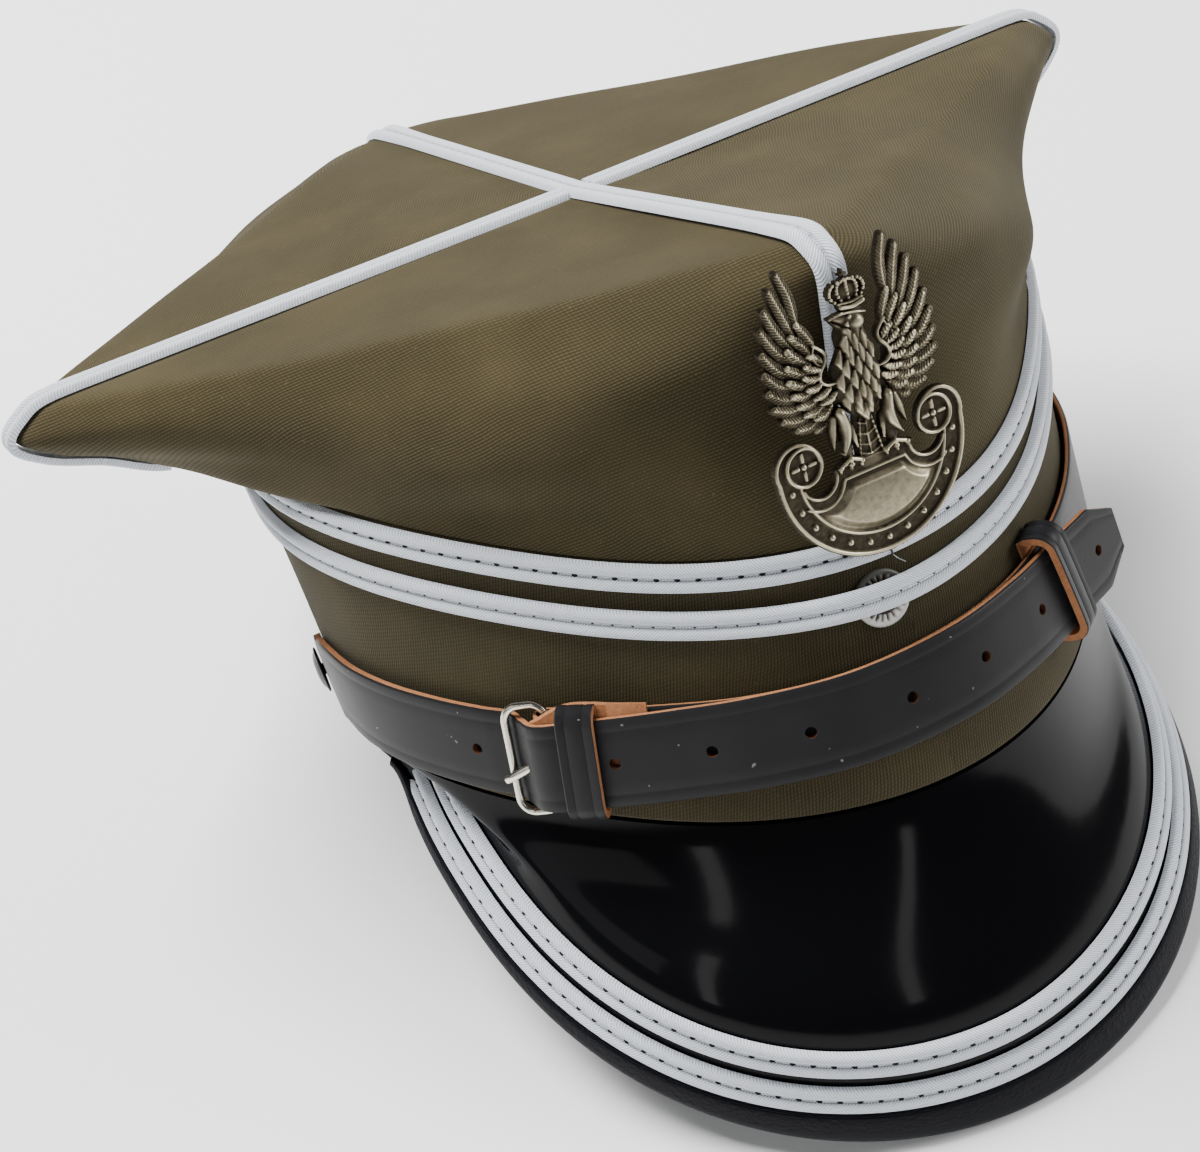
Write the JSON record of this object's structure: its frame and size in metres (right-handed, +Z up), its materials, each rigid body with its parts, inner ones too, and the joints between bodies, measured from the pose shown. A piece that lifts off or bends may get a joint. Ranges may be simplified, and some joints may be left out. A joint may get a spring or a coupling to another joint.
{
  "type": "rogatywka, a four-cornered peaked cap",
  "caption": "Four-cornered peaked officer's cap with braided seams, a patent peak, a buckled chin strap and an eagle badge.",
  "frame": {"origin": "centre of the bounding box's base, on the surface that the cap lies on", "axes": "+Z up, +Y towards the back of the cap, the peak and badge face -Y, +X to the right of someone who faces the badge"},
  "size_m": [0.2508, 0.2722, 0.1532],
  "materials": {
    "cloth": "matte khaki wool twill",
    "silver_braid": "pale silver braid with a stitched groove",
    "patent_leather": "high gloss black",
    "edging_leather": "satin black, stitched",
    "strap_leather": "satin black with raw tan edges",
    "nickel": "polished nickel",
    "aged_silver": "aged silver with a dark patina",
    "black_lacquer": "black lacquered metal"
  },
  "bodies": {
    "root": {"band": "cloth", "band_braid_upper": "silver_braid", "band_braid_lower": "silver_braid", "crown_front_right": "cloth", "crown_back_right": "cloth", "crown_back_left": "cloth", "crown_front_left": "cloth", "seam_braid_front_back": "silver_braid", "seam_braid_right": "silver_braid", "seam_braid_left": "silver_braid", "peak": "patent_leather", "peak_braid_outer": "silver_braid", "peak_braid_inner": "silver_braid", "peak_edging": "edging_leather", "strap_long": "strap_leather", "strap_short": "strap_leather", "buckle_frame": "nickel", "buckle_tongue": "nickel", "keeper_buckle": "strap_leather", "keeper_tip": "strap_leather", "side_button_left": "black_lacquer", "side_button_right": "black_lacquer", "badge": "aged_silver", "band_eyelet": "aged_silver"}
  },
  "joints": []
}
